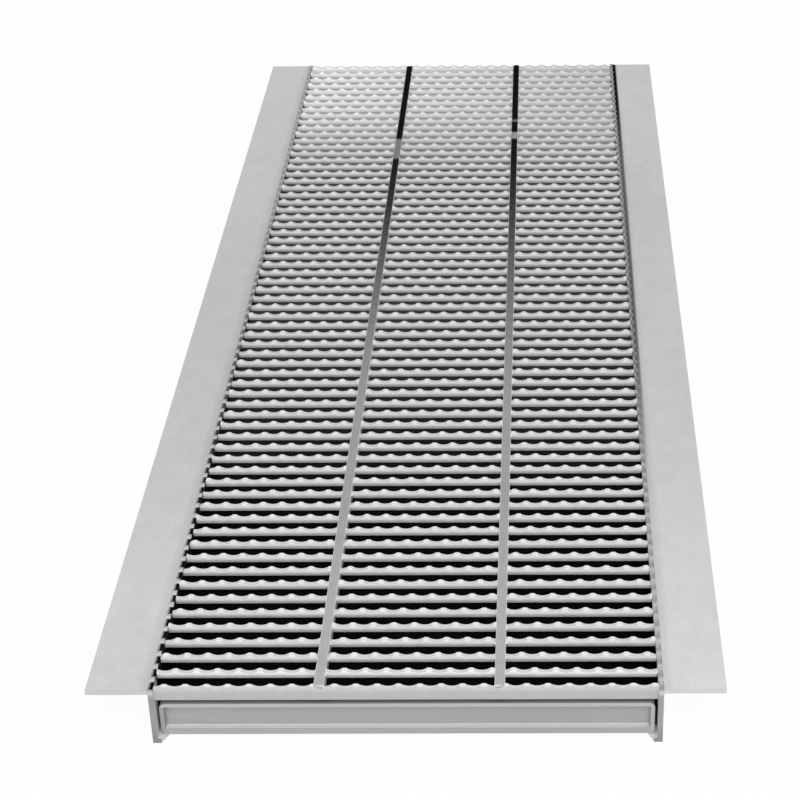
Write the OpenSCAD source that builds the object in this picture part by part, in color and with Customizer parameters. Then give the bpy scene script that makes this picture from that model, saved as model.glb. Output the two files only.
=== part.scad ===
// Steel grating panel in a flanged frame, for the top of a drainage trench.
// Two welded rails hold a grating of serrated cross bars between their webs,
// whose top edges are serrated too. The shallow trays that close the ends
// stand on the rails' bottom lips.
// Millimetres. X is the width, Y the length and Z is up. The origin is in
// the middle of the footprint, level with the undersides of the rails.

/* [Rails] */
// Length of the panel
length = 1000; // [400:5:2000]
// Width over both flanges
width = 375; // [280:1:800]
// Height from the undersides of the rails to the top of the flanges
height = 39; // [30:1:80]
// How far each flange reaches out beyond its web
flange_out = 36.5; // [15:0.5:70]
// Thickness of the rails' flat steel
rail_t = 3; // [2:0.5:5]
// Radius of the weld fillets in the rails' inner corners
weld_r = 1; // [0.5:0.5:2]
// How far each bottom lip reaches inward from its web
lip_in = 12; // [10:0.5:25]
// How far a lip still reaches inward at its clipped ends
lip_end = 2; // [1:0.5:8]
// Length over which each end of a lip is clipped
clip_l = 23; // [4:0.5:40]

/* [Grating] */
// How far the crests of the bars and webs stand above the flanges
crest_rise = 1; // [0:0.25:3]
// Distance between cross bars that is aimed at, from middle to middle
bar_pitch = 15; // [10:0.5:40]
// Thickness of the cross bars and end bars, along the panel
bar_t = 3; // [2:0.5:6]
// Depth of the cross bars below their crests
bar_d = 5; // [4:0.5:10]
// Depth of the two end bars below their crests
end_bar_d = 9.5; // [5:0.5:14]
// How far the end bars stand back from the ends of the rails
end_bar_back = 2; // [0:0.5:5]
// Distance from crest to crest of the serration
tooth_pitch = 12.5; // [8:0.5:25]
// Depth of the scallops between the crests
tooth_d = 1.75; // [0.5:0.25:3]
// Flat width of each crest
crest_w = 2; // [0.5:0.25:4]
// Distance between the two tie bars, from middle to middle
tie_spacing = 106; // [40:1:200]
// How far the pair of tie bars stands to the right of the middle
tie_shift = 2; // [-10:0.5:10]
// Thickness of the tie bars, across the panel
tie_t = 6; // [3:0.5:12]
// Depth of the tie bars
tie_d = 8; // [5:0.5:12]

/* [End trays] */
// Thickness of the trays' sheet steel
tray_t = 2.5; // [1.5:0.5:4]
// Height of the trays' lower rim
tray_foot = 4; // [1.5:0.5:6]
// Depth of the recess in each tray
recess_d = 4; // [2:0.5:10]
// How far the trays' rims stand back from the ends of the rails
tray_back = 4.5; // [0:0.5:10]
// Clearance between each end of a tray and the web of its rail
tray_gap = 1.75; // [1.5:0.25:5]
// Open height between the grating and the trays' upper rims
tray_drop = 5; // [1:0.5:8]
// Radius of the corners inside each tray's rim
tray_r = 1; // [0.5:0.5:4]

/* [Hidden] */
$fn = 48;

SHEET_STEEL = [0.74, 0.75, 0.76];
BAR_STEEL = [0.82, 0.83, 0.84];
LEFT = -1;
RIGHT = 1;
FRONT = -1;
BACK = 1;
// Cutting tools run past the faces that they open by this much
OVER = 1;

// Outer face of a web, and the cross bars' length between the webs
web_x = width / 2 - flange_out;
clear_w = 2 * (web_x - rail_t);
// Height of the crests
top = height + crest_rise;
// The cross bars are spread evenly from one end bar to the other
end_bar_y = length / 2 - end_bar_back - bar_t / 2;
bar_gaps = round(2 * end_bar_y / bar_pitch);
bar_step = 2 * end_bar_y / bar_gaps;
// The scallops are arcs of this radius, from their width and depth
scallop_w = tooth_pitch - crest_w;
scallop_r = (scallop_w * scallop_w / 4 + tooth_d * tooth_d) / (2 * tooth_d);
// Each cross bar is cut from long serrated stock, so its first crest falls
// at another place than its neighbour's: one of 8 places, taken in turns of 3
PLACES = 8;
TURN = 3;
// Where the webs' first scallop falls, from the front end
WEB_START = 4.5;
// The trays stand on the lips and end below the grating
tray_w = clear_w - 2 * tray_gap;
tray_h = top - rail_t - max(end_bar_d, tie_d) - tray_drop;
tray_d = recess_d + tray_t;

// Area between a square corner at the origin and an arc of radius r
module corner(r) {
    difference() {
        square(r);
        translate([r, r]) circle(r);
    }
}

// Section of a rail below its serration: web from x = -rail_t to 0, flange
// outward, lip inward and a weld fillet under each
module rail_section() {
    translate([-rail_t, 0]) square([rail_t, height - rail_t]);
    translate([0, height - rail_t]) square([flange_out, rail_t]);
    translate([-rail_t - lip_in, 0]) square([lip_in, rail_t]);
    translate([0, height - rail_t]) mirror([0, 1]) corner(weld_r);
    translate([-rail_t, rail_t]) mirror([1, 0]) corner(weld_r);
}

// Wedge that clips one end of a lip, in plan, with the rail's end at y = 0
module lip_clip() {
    inner_x = -rail_t - lip_in;
    slope = (lip_in - lip_end) / clip_l;
    polygon([[inner_x - OVER, OVER], [-rail_t - lip_end + slope * OVER, OVER],
        [inner_x - slope * OVER, -clip_l - OVER], [inner_x - OVER, -clip_l - OVER]]);
}

// Rail with its web's outer face at x = 0, along Y
module rail() {
    difference() {
        union() {
            rotate([90, 0, 0]) linear_extrude(length, center = true) rail_section();
            translate([-rail_t / 2, 0, 0]) rotate([0, 0, 90])
                serrated_bar(length, top - rail_t, rail_t, WEB_START);
        }
        for (end = [FRONT, BACK])
            scale([1, end, 1]) translate([0, length / 2, -OVER])
                linear_extrude(rail_t + 2 * OVER) lip_clip();
    }
}

// Serrated flat bar along X, w long, d deep and t thick, crests at the top
module serrated_bar(w, d, t, shift) {
    first = -w / 2 + shift - tooth_pitch;
    rotate([90, 0, 0]) linear_extrude(t, center = true) difference() {
        translate([-w / 2, top - d]) square([w, d]);
        for (x = [first : tooth_pitch : w / 2 + tooth_pitch])
            translate([x, top - tooth_d + scallop_r]) circle(scallop_r);
    }
}

// Cross bars and end bars, welded where the two tie bars run through them
module grating() {
    color(BAR_STEEL) union() {
        for (i = [0 : bar_gaps]) {
            is_end = i == 0 || i == bar_gaps;
            shift = tooth_pitch * ((i * TURN) % PLACES) / PLACES;
            translate([0, -end_bar_y + i * bar_step, 0])
                serrated_bar(clear_w, is_end ? end_bar_d : bar_d, bar_t, shift);
        }
        for (side = [LEFT, RIGHT])
            translate([tie_shift + side * tie_spacing / 2 - tie_t / 2, -end_bar_y,
                top - tie_d]) cube([tie_t, 2 * end_bar_y, tie_d]);
    }
}

// Rectangle about x = 0 that stands on z = 0, with corners of radius r
module rounded_plate(w, h, r) {
    difference() {
        translate([-w / 2, 0]) square([w, h]);
        for (side = [LEFT, RIGHT], top = [0, 1])
            translate([side * w / 2, top * h])
                scale([-side, 1 - 2 * top]) corner(r);
    }
}

// Shallow pressed tray at the back end, its recess open to the outside
module end_tray() {
    translate([0, length / 2 - tray_back, rail_t]) rotate([90, 0, 0]) difference() {
        linear_extrude(tray_d) rounded_plate(tray_w, tray_h, tray_r + tray_t);
        translate([0, tray_foot, -OVER]) linear_extrude(recess_d + OVER)
            rounded_plate(tray_w - 2 * tray_t, tray_h - tray_foot - tray_t, tray_r);
    }
}

module rail_right() {
    color(SHEET_STEEL) translate([web_x, 0, 0]) rail();
}

module rail_left() {
    color(SHEET_STEEL) mirror([1, 0, 0]) translate([web_x, 0, 0]) rail();
}

module end_tray_back() {
    color(SHEET_STEEL) end_tray();
}

module end_tray_front() {
    color(SHEET_STEEL) mirror([0, 1, 0]) end_tray();
}

rail_left();
rail_right();
grating();
end_tray_front();
end_tray_back();
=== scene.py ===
"""Looks of a steel grating panel: two flanged rails with serrated webs, a
grating of serrated cross bars, and a shallow tray that closes each end."""
import math

import bpy
import numpy as np
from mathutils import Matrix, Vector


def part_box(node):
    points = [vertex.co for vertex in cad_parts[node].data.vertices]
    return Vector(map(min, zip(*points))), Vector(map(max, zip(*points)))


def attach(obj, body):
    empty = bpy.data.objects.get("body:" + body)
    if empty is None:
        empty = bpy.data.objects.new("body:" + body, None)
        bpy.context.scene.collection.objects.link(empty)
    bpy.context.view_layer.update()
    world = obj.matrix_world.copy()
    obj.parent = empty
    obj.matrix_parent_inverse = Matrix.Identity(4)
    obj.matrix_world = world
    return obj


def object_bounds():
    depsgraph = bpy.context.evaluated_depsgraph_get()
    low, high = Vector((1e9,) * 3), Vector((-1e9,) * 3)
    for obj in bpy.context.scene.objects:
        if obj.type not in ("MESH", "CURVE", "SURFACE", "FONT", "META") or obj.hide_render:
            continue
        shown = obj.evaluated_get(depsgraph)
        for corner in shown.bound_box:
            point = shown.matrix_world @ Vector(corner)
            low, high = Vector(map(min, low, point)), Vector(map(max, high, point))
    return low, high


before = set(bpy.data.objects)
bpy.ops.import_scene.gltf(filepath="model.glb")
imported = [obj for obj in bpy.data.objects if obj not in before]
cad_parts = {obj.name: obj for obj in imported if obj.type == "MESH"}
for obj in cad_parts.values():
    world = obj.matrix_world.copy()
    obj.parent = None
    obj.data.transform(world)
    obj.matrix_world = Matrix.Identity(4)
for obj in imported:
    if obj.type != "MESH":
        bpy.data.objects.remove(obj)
cad_bounds = [list(corner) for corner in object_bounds()]

# ---------------------------------------------------------------------------
# The studio: a white floor far wider than the panel, a dark pit under the
# grating whose black paints the shade in its slots, even light from all round,
# and a high and a low soft lamp in front. Behind the panel the room has a dark
# end, which the ties mirror.
# ---------------------------------------------------------------------------


class Shade:
    """One socket of a node tree, holding a number, colour or vector that
    varies over a surface. Arithmetic on it adds a Math node."""

    def __init__(self, tree, socket=None):
        self.tree, self.socket = tree, socket

    def node(self, kind, settings=None, sockets=None, out=0):
        """Adds a node of that kind: its settings go in first, a ramp's stops
        among them, then each socket's value or link. Gives one output, by
        its number or name."""
        made = self.tree.nodes.new("ShaderNode" + kind)
        for name, value in (settings or {}).items():
            if name == "stops":
                ramp = made.color_ramp.elements
                while len(ramp) < len(value):
                    ramp.new(0.5)
                for stop, (place, colour) in zip(ramp, value):
                    stop.position, stop.color = place, colour
            else:
                setattr(made, name, value)
        for name, value in (sockets or {}).items():
            if isinstance(value, Shade):
                self.tree.links.new(value.socket, made.inputs[name])
            else:
                made.inputs[name].default_value = value
        return Shade(self.tree, made.outputs[out])

    def math(self, operation, *values, clamp=False):
        return self.node("Math", {"operation": operation, "use_clamp": clamp},
                         dict(enumerate(values)))

    def __add__(self, other): return self.math("ADD", self, other)
    def __radd__(self, other): return self.math("ADD", other, self)
    def __sub__(self, other): return self.math("SUBTRACT", self, other)
    def __rsub__(self, other): return self.math("SUBTRACT", other, self)
    def __mul__(self, other): return self.math("MULTIPLY", self, other)
    def __rmul__(self, other): return self.math("MULTIPLY", other, self)
    def __truediv__(self, other): return self.math("DIVIDE", self, other)
    def __abs__(self): return self.math("ABSOLUTE", self)

    def most(self, other):
        """The larger of this number and the other."""
        return self.math("MAXIMUM", self, other)

    def rise(self, low, high):
        """0 below low, 1 above high and a smooth step between."""
        return self.node("MapRange", {"interpolation_type": "SMOOTHSTEP"},
                         {"Value": self, "From Min": low, "From Max": high})

    def blend(self, there, mask):
        """This colour where the mask is 0, the other where it is 1."""
        return self.node("Mix", {"data_type": "RGBA"},
                         {0: mask, 6: self, 7: there}, out=2)

    def grey(self):
        """This number as a colour with three equal parts."""
        return self.node("CombineColor", None, {0: self, 1: self, 2: self})

    def parts(self):
        """The three parts of this vector."""
        return [self.node("SeparateXYZ", None, {0: self}, part)
                for part in range(3)]

    def to_output(self, kind="OutputMaterial"):
        """Makes this shader the surface of its material or world."""
        output = self.tree.nodes.new("ShaderNode" + kind)
        self.tree.links.new(self.socket, output.inputs["Surface"])


def grey(level):
    """Opaque grey of one linear level."""
    return (level, level, level, 1.0)


NORMAL, OBJECT = 1, 3       # outputs of the Texture Coordinate node


def made_mesh(name, points, faces):
    """Object of that name from a list of points and one of faces."""
    mesh = bpy.data.meshes.new(name)
    mesh.from_pydata(points, [], faces)
    made = bpy.data.objects.new(name, mesh)
    bpy.context.scene.collection.objects.link(made)
    return made


def corners(x_half, y_half, z):
    """The four corners of a level rectangle about the origin, facing up."""
    return [(-x_half, -y_half, z), (x_half, -y_half, z),
            (x_half, y_half, z), (-x_half, y_half, z)]


def empty_material(name):
    """New material without a node in it, and its empty shade."""
    made = bpy.data.materials.new(name)
    made.use_nodes = True
    made.node_tree.nodes.clear()
    return made, Shade(made.node_tree)


def place_on_object(shade):
    """Object coordinates in metres, as a vector and as x, y and z."""
    where = shade.node("TexCoord", None, None, out=OBJECT)
    return (where, *where.parts())


def seen_directly(shade):
    """1 for camera, mirror and clear-through rays, 0 for light that bounces."""
    camera_ray, mirror_ray, clear_ray = (
        shade.node("LightPath", out=name)
        for name in ("Is Camera Ray", "Is Glossy Ray", "Is Transmission Ray"))
    return camera_ray.most(mirror_ray.most(clear_ray))


def stage_paint(piece, name, level, glow_level, share):
    """Dull grey under an even glow. The share that the glow takes comes from
    share, called with the material's empty shade."""
    made, shade = empty_material(name)
    dull = shade.node("BsdfDiffuse", None, {"Color": grey(level)})
    glow = shade.node("Emission", None,
                      {"Color": grey(glow_level), "Strength": 1.0})
    shade.node("MixShader", None, {0: seen_directly(shade) * share(shade),
                                   1: dull, 2: glow}).to_output()
    piece.data.materials.append(made)


FLOOR_HALF = 12.0
FLOOR_GLOW = 0.95           # share of the floor's white that shadows can't dim
FLOOR_COLOUR = 0.78
floor = made_mesh("floor", corners(FLOOR_HALF, FLOOR_HALF, 0.0), [(0, 1, 2, 3)])
stage_paint(floor, "white_floor", FLOOR_COLOUR, 1.0, lambda shade: FLOOR_GLOW)

# The pit is an open box inside the frame. Its black is painted shade, seen
# through the slots. Its floor clears the fillets at the rails' feet, and its
# walls end a little above the grating's lowest edge. It is black at the front
# and glows faintly at its far end, a painted light for the slots near the back.
PIT_GAP = 0.0002
PIT_FLOOR = 0.0042
PIT_LAP = 0.0013
PIT_BLACK, PIT_GLOW = 0.004, 0.30
pit_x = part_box("grating")[1].x - PIT_GAP
pit_y = -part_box("end_tray_front")[1].y - PIT_GAP
pit_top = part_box("grating")[0].z + PIT_LAP
pit = made_mesh(
    "painted_shade_pit", corners(pit_x, pit_y, PIT_FLOOR) + corners(pit_x, pit_y, pit_top),
    [(0, 1, 2, 3), (0, 4, 5, 1), (1, 5, 6, 2), (2, 6, 7, 3), (3, 7, 4, 0)])


def pit_share(shade):
    """How much the pit glows as painted light: a little past its middle, fully at the
    back.
    """
    y = place_on_object(shade)[2]
    return y.rise(-0.3, 0.2) * 0.14 + y.rise(0.28, 0.47) * 0.86


stage_paint(pit, "pit_painted_shade_and_glow", PIT_BLACK, PIT_GLOW, pit_share)

ROOM = 0.62                 # brightness of the room all round
DARK_ROOM = 0.012           # and of its dark end, never seen by the camera
world = bpy.data.worlds.new("studio")
world.use_nodes = True
world.node_tree.nodes.clear()
bpy.context.scene.world = world
shade = Shade(world.node_tree)
across, along, up = shade.node("TexCoord").parts()
sideways = abs(across) / along.math("MAXIMUM", along, 0.05)
low_down = 1 - up.rise(0.395, 0.515)
dark = low_down * (1 - sideways.rise(0.30, 0.55)) * along.rise(0.1, 0.3)
level = ROOM + dark * (DARK_ROOM - ROOM)
camera_ray = shade.node("LightPath", out="Is Camera Ray")
level = level.grey().blend(grey(1.0), camera_ray)
shade.node("Background", None, {"Color": level, "Strength": 1.0}) \
    .to_output("OutputWorld")


def soft_lamp(name, place, size, watts):
    """Square area lamp that shines from its place towards the origin."""
    data = bpy.data.lights.new(name, "AREA")
    data.shape, data.size, data.energy = "SQUARE", size, watts
    made = bpy.data.objects.new(name, data)
    bpy.context.scene.collection.objects.link(made)
    made.location = place
    x, y, z = place
    made.rotation_euler = (math.atan2(math.hypot(x, y), z), 0.0,
                           math.atan2(x, -y))


soft_lamp("lamp_front", (1.0, -4.0, 4.8), 3.2, 255.0)
soft_lamp("lamp_low", (-0.8, -5.0, 1.3), 2.5, 60.0)

camera_data = bpy.data.cameras.new("camera")
camera_data.lens, camera_data.sensor_width = 93.97, 36.0
camera_data.shift_x = -0.1585
camera = bpy.data.objects.new("camera", camera_data)
bpy.context.scene.collection.objects.link(camera)
camera.location = (0.0818, -1.4672, 0.7969)
camera.rotation_euler = [math.radians(turn) for turn in (59.819, 0.432, 0.310)]
bpy.context.scene.camera = camera
bpy.context.scene.view_settings.view_transform = "Standard"

# ---------------------------------------------------------------------------
# Rails: flat steel with an even satin, its rolling direction along them, and
# painted shade on its cut ends. Painted shade lies in the scallops of the webs,
# at the front on the left and further back on the right, where it grows into a
# painted dark line.
# ---------------------------------------------------------------------------
SHEET_LEVEL = 0.555
HALF_LENGTH = cad_bounds[1][1]
TOP = cad_bounds[1][2]
FLANGE_TOP = TOP - 0.001
RAIL_T = 0.003
WEB_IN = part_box("grating")[1].x
WEB_OUT = WEB_IN + RAIL_T
LINE_X = WEB_OUT - 0.0001   # middle of the dark line, at its front end
LINE_DRIFT = 0.0010         # and how far it moves outward to the back


def noise(where, scale, stretch=(1, 1, 1), detail=2.0):
    """Cloudy number from 0 to 1 with features of about 1 / scale metres."""
    stretched = where.node("Mapping", None, {"Vector": where, "Scale": stretch})
    return where.node("TexNoise", None,
                      {"Vector": stretched, "Scale": scale, "Detail": detail})


def steel(name, paint):
    """Metal whose colour, roughness and bump height come from paint, called
    with its empty shade, its place vector and x, y and z."""
    made, shade = empty_material(name)
    where, x, y, z = place_on_object(shade)
    colour, roughness, metal, height, bump_mm = paint(shade, where, x, y, z)
    bump = shade.node("Bump", None, {"Height": height, "Distance": bump_mm * 0.001,
                                     "Strength": 1.0})
    shader = shade.node("BsdfPrincipled", None,
                        {"Base Color": colour, "Roughness": roughness,
                         "Metallic": metal, "Normal": bump})
    shader.to_output()
    return made


def dress(node, material):
    """Gives a CAD node one material."""
    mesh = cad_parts[node].data
    mesh.materials.clear()
    mesh.materials.append(material)


def paint_sheet(shade, where, x, y, z):
    """Satin sheet: fine grain along y, slow clouds and mottling, with painted shade
    on the cut ends, on the webs and close beside them, and painted light along them."""
    grain = noise(where, 900.0, (1.0, 0.06, 1.0))
    cloud = noise(where, 9.0, (1.0, 0.5, 1.0))
    mottle = noise(where, 90.0, (1.0, 0.7, 1.0), 3.0)
    right = x.rise(-0.001, 0.001)
    above_root = z.rise(FLANGE_TOP - 0.0015, FLANGE_TOP - 0.0010)
    above_flange = z.rise(FLANGE_TOP - 0.0005, FLANGE_TOP - 0.0001)

    # Painted shade on the cut ends, deepest at the bottom of the webs.
    cut = abs(y).rise(HALF_LENGTH - 0.0004, HALF_LENGTH - 0.0001)
    cut_shade = 0.68 - z.rise(0.0, 0.016) * 0.10 - z.rise(0.033, 0.037) * 0.36

    # Painted shade: the webs' inner faces are painted near black, apart from their last 15
    # mm.
    inner = (1 - abs(x).rise(WEB_IN + 0.0001, WEB_IN + 0.0003)) \
        * (1 - above_root) \
        * (1 - abs(y).rise(HALF_LENGTH - 0.016, HALF_LENGTH - 0.012))

    # The floors of the scallops in the webs' tops, and the painted shade in them.
    web_top = (1 - abs(x).rise(WEB_OUT, WEB_OUT + 0.0002)) * above_root
    scallop = web_top * (1 - z.rise(TOP - 0.00115, TOP - 0.00075)) * (1 - cut) \
        * (1 - abs(x).rise(WEB_IN + 0.0014, WEB_OUT + 0.0002))
    scallop_shade = (1 - right) * (1 - y.rise(-0.35, 0.25) * 0.9) \
        + right * y.rise(-0.45, -0.1) * 0.35

    # A painted dark line of shade over the right web and the flange's edge.
    off_line = abs(x - y.rise(-0.2, 0.2) * LINE_DRIFT - LINE_X)
    line = right * (1 - off_line.rise(0.0009, 0.0027)) \
        * (y.rise(-0.32, -0.05) * 0.68 + y.rise(0.25, 0.42) * 0.32) \
        * above_flange
    painted_shade_mask = inner.most(scallop * scallop_shade).most(line)

    # Painted shade on the webs' tops, deeper towards the back and at the right front, and
    # a little on the flange beside each web.
    back = y.rise(-0.3, 0.2)
    band = web_top * (0.25 + back * 0.18 + right * (1 - back) * 0.18)
    beside = above_flange * (1 - web_top) \
        * (1 - abs(x).rise(WEB_OUT + 0.0015, WEB_OUT + 0.0070))

    level = SHEET_LEVEL + (grain - 0.5) * 0.06 + (cloud - 0.5) * 0.07 \
        + (mottle - 0.5) * 0.09
    level = level * (1 - cut * cut_shade)
    # Painted light: the rails lighter at the front and back than in the middle, and the
    # right flange lighter at its front.
    level = level * (1.03 - y.rise(-0.5, -0.1) * 0.10 + y.rise(0.0, 0.5) * 0.12)
    level = level * (1 + x.rise(0.10, 0.16) * (1 - y.rise(-0.5, -0.2)) * 0.07)
    level = level * (1 - painted_shade_mask * 0.98) * (1 - band) * (1 - beside * 0.11)
    rough = 0.62 + (cloud - 0.5) * 0.08 + painted_shade_mask * 0.3
    return level.grey(), rough, 0.15 + painted_shade_mask * 0.85, grain, 0.02


sheet_steel = steel("satin_sheet_steel", paint_sheet)
for node in ("rail_left", "rail_right"):
    dress(node, sheet_steel)

# ---------------------------------------------------------------------------
# Grating: serrated bars welded through two flat tie bars. Crests carry a
# painted highlight, scallops are duller, and the bars' feet carry painted
# shade. The ties' tops are smooth enough to mirror the room's dark end, apart
# from dull breaks near the back.
# ---------------------------------------------------------------------------
TIE_MIDDLE, TIE_X = 0.002, 0.053
TIE_HALF = 0.0031
LEFT_BREAK = 0.290          # places of the breaks along the panel
RIGHT_BREAK, RIGHT_SPOT = 0.320, 0.355


def paint_bars(shade, where, x, y, z):
    """Painted highlights on the crests over duller scallops, painted light on the
    bars' faces and painted shade at their feet, smooth tie tops with a painted
    reflection, and painted shade on the outer faces of the end bars."""
    grain = noise(where, 700.0, (0.25, 1.0, 1.0))
    mottle = noise(where, 160.0, (1.0, 0.6, 1.0), 3.0)
    facing = shade.node("TexCoord", None, None, out=NORMAL).parts()[1]
    face = abs(facing).rise(0.5, 0.9)
    lit = z.rise(TOP - 0.0048, TOP - 0.0014)
    crest_highlight = z.rise(TOP - 0.0009, TOP - 0.0001)
    outside = abs(y).rise(HALF_LENGTH - 0.0022, HALF_LENGTH - 0.0020)
    foot = (1 - lit) * (1 - outside) * (1 - y.rise(0.22, 0.42) * 0.7)
    right = x.rise(0.0, 0.001)

    # The ties' tops, less where they are broken, and the ties' ends.
    off_tie = abs(abs(x - TIE_MIDDLE) - TIE_X)
    over_tie = 1 - off_tie.rise(TIE_HALF - 0.0006, TIE_HALF)
    on_tie = over_tie * z.rise(TOP - 0.00012, TOP - 0.00006)
    tie_end = over_tie * (1 - on_tie) * (1 - outside) \
        * abs(y).rise(HALF_LENGTH - 0.0050, HALF_LENGTH - 0.0045)
    broken = (1 - right) * 0.33 * (1 - abs(y - LEFT_BREAK).rise(0.020, 0.025)) \
        + right * 0.5 * (1 - abs(y - RIGHT_BREAK).rise(0.005, 0.010)) \
        + right * 0.25 * (1 - abs(y - RIGHT_SPOT).rise(0.001, 0.005))
    smooth = on_tie * (1 - broken)

    # Painted light and shade: faces lighter than tops, painted shade at the faces' feet
    # fading to the back, tops darker to the back, and a painted highlight on the crests.
    level = 0.61 + crest_highlight * 0.16 + face * (0.29 - foot * 0.50) \
        - (1 - face) * y.rise(-0.3, 0.1) * 0.11 \
        + (grain - 0.5) * 0.10 + (mottle - 0.5) * 0.14
    # Painted light and shade: towards the back the bars grow brighter, most of all on the
    # left, and darker at the far right.
    level = level * (1.0 - y.rise(-0.4, -0.2) * 0.02 + y.rise(0.28, 0.42) * 0.08)
    level = level * (1 - y.rise(0.25, 0.45) * x)
    level = level * (1 - tie_end * 0.42)
    # Painted reflection: the smooth tie tops are darkened, most towards the back.
    level = level * (1 - smooth * (0.09 + y.rise(-0.48, -0.25) * 0.20))
    # Painted shade on the outer faces of the end bars.
    level = level * (1 - outside * (0.60 - lit * 0.09))
    rough = 0.46 - smooth * 0.40 + (mottle - 0.5) * 0.08 * (1 - smooth)
    return level.grey(), rough, 0.15 + smooth * 0.85, mottle, 0.05


dress("grating", steel("serrated_bar_steel", paint_bars))

# ---------------------------------------------------------------------------
# End trays: thinner pressed sheet, recess outward. Their low base level is
# partly painted shade on their recessed faces. Their rims carry painted light
# over the recess, lighter at the right end and darker at the left, and the top
# of the lower rim carries the brightest painted light.
# ---------------------------------------------------------------------------
TRAY_LEVEL = 0.31
RIM_PAINTED_LIGHT = 0.08
RIM_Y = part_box("end_tray_back")[1].y
TRAY_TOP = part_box("end_tray_back")[1].z
FOOT_TOP = 0.007            # top of the trays' lower rims
RIM_END = 0.144             # where the rims' upright ends begin


def paint_tray(shade, where, x, y, z):
    """Pressed sheet with slow clouding and a faint drawn grain across. The trays'
    tops carry a painted shadow behind the rims."""
    grain = noise(where, 600.0, (0.08, 1.0, 1.0))
    cloud = noise(where, 12.0, (0.4, 1.0, 1.0))
    level = TRAY_LEVEL + (grain - 0.5) * 0.04 + (cloud - 0.5) * 0.05
    rim = abs(y).rise(RIM_Y - 0.0004, RIM_Y - 0.0001)
    upper = z.rise(TRAY_TOP - 0.0030, TRAY_TOP - 0.0026)
    right_end = x.rise(RIM_END - 0.0002, RIM_END + 0.0002)
    left_end = 1 - x.rise(-RIM_END - 0.0002, -RIM_END + 0.0002)
    # Painted light on the rims: the upper rim lighter, the rims' right ends lighter and
    # their left ends darker.
    level = level + rim * upper * RIM_PAINTED_LIGHT \
        + rim * (1 - upper) * (right_end * 0.06 - left_end * 0.04)
    # Painted shadow on the trays' tops, cast by the end bars, behind the rims.
    top_painted_shadow = z.rise(TRAY_TOP - 0.0004, TRAY_TOP - 0.0001) \
        * (1 - abs(y).rise(RIM_Y - 0.0022, RIM_Y - 0.0008))
    level = level * (1 - top_painted_shadow * 0.30)
    # Painted light on the top of the lower rim.
    foot = (1 - z.rise(FOOT_TOP + 0.0002, FOOT_TOP + 0.0005)) * (1 - rim)
    level = level + foot * 0.27
    return level.grey(), 0.42 + (cloud - 0.5) * 0.1, 0.3, grain, 0.02


tray_steel = steel("pressed_tray_steel", paint_tray)
for node in ("end_tray_front", "end_tray_back"):
    dress(node, tray_steel)

# ---------------------------------------------------------------------------
# Tie welds: a small lump in each corner where a cross bar meets a tie bar,
# which rounds the ends of the slots.
# ---------------------------------------------------------------------------
BAR_T = 0.003
BAR_GAPS = 66
LUMP_OFF = 0.0030           # from a tie's middle to its lumps
LUMP_ROWS, LUMP_COLUMNS = 5, 8


def lump_centres(seed):
    """Centres and radii of the lumps: both faces of every inner cross bar,
    both sides of both ties, each a little off its corner."""
    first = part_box("grating")[0].y + BAR_T / 2
    rows = np.arange(1, BAR_GAPS)
    bars = first - rows * 2 * first / BAR_GAPS
    ties = [TIE_MIDDLE - TIE_X, TIE_MIDDLE + TIE_X]
    grid = np.array([(tie + side * LUMP_OFF, bar + face * BAR_T / 2)
                     for tie in ties for bar in bars
                     for side in (-1, 1) for face in (-1, 1)])
    spread = np.random.default_rng(seed)
    radii = spread.uniform(0.0007, 0.0015, (len(grid), 3))
    shift = spread.uniform(-0.0002, 0.0002, (len(grid), 2))
    height = TOP - spread.uniform(0.0022, 0.0030, len(grid))
    return np.column_stack([grid + shift, height]), radii


def lump_surface(centres, radii):
    """Ellipsoids about the centres. A point is its centre plus the radii times
    sin(polar) cos(turn), sin(polar) sin(turn) and cos(polar), on LUMP_ROWS
    rings of LUMP_COLUMNS points between two poles."""
    polar = np.arange(1, LUMP_ROWS + 1) * np.pi / (LUMP_ROWS + 1)
    turn = np.arange(LUMP_COLUMNS) * 2 * np.pi / LUMP_COLUMNS
    ball = np.stack([np.outer(np.sin(polar), np.cos(turn)),
                     np.outer(np.sin(polar), np.sin(turn)),
                     np.outer(np.cos(polar), np.ones(LUMP_COLUMNS))], -1).reshape(-1, 3)
    ball = np.vstack([[0, 0, 1], ball, [0, 0, -1]])
    points = centres[:, None] + radii[:, None] * ball
    faces = []
    last = len(ball) - 1
    for i in range(LUMP_COLUMNS):
        j = (i + 1) % LUMP_COLUMNS
        faces.append((0, 1 + i, 1 + j))
        for row in range(LUMP_ROWS - 1):
            a = 1 + row * LUMP_COLUMNS
            faces.append((a + i, a + LUMP_COLUMNS + i, a + LUMP_COLUMNS + j, a + j))
        a = last - LUMP_COLUMNS
        faces.append((a + i, last, a + j))
    faces = [tuple(k + n * len(ball) for k in face)
             for n in range(len(centres)) for face in faces]
    return points.reshape(-1, 3), faces


points, faces = lump_surface(*lump_centres(7))
lumps = made_mesh("tie_welds", points.tolist(), faces)
lumps.data.materials.append(steel("tie_weld_steel", paint_bars))
lumps.data.polygons.foreach_set("use_smooth", [True] * len(faces))
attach(lumps, "root")
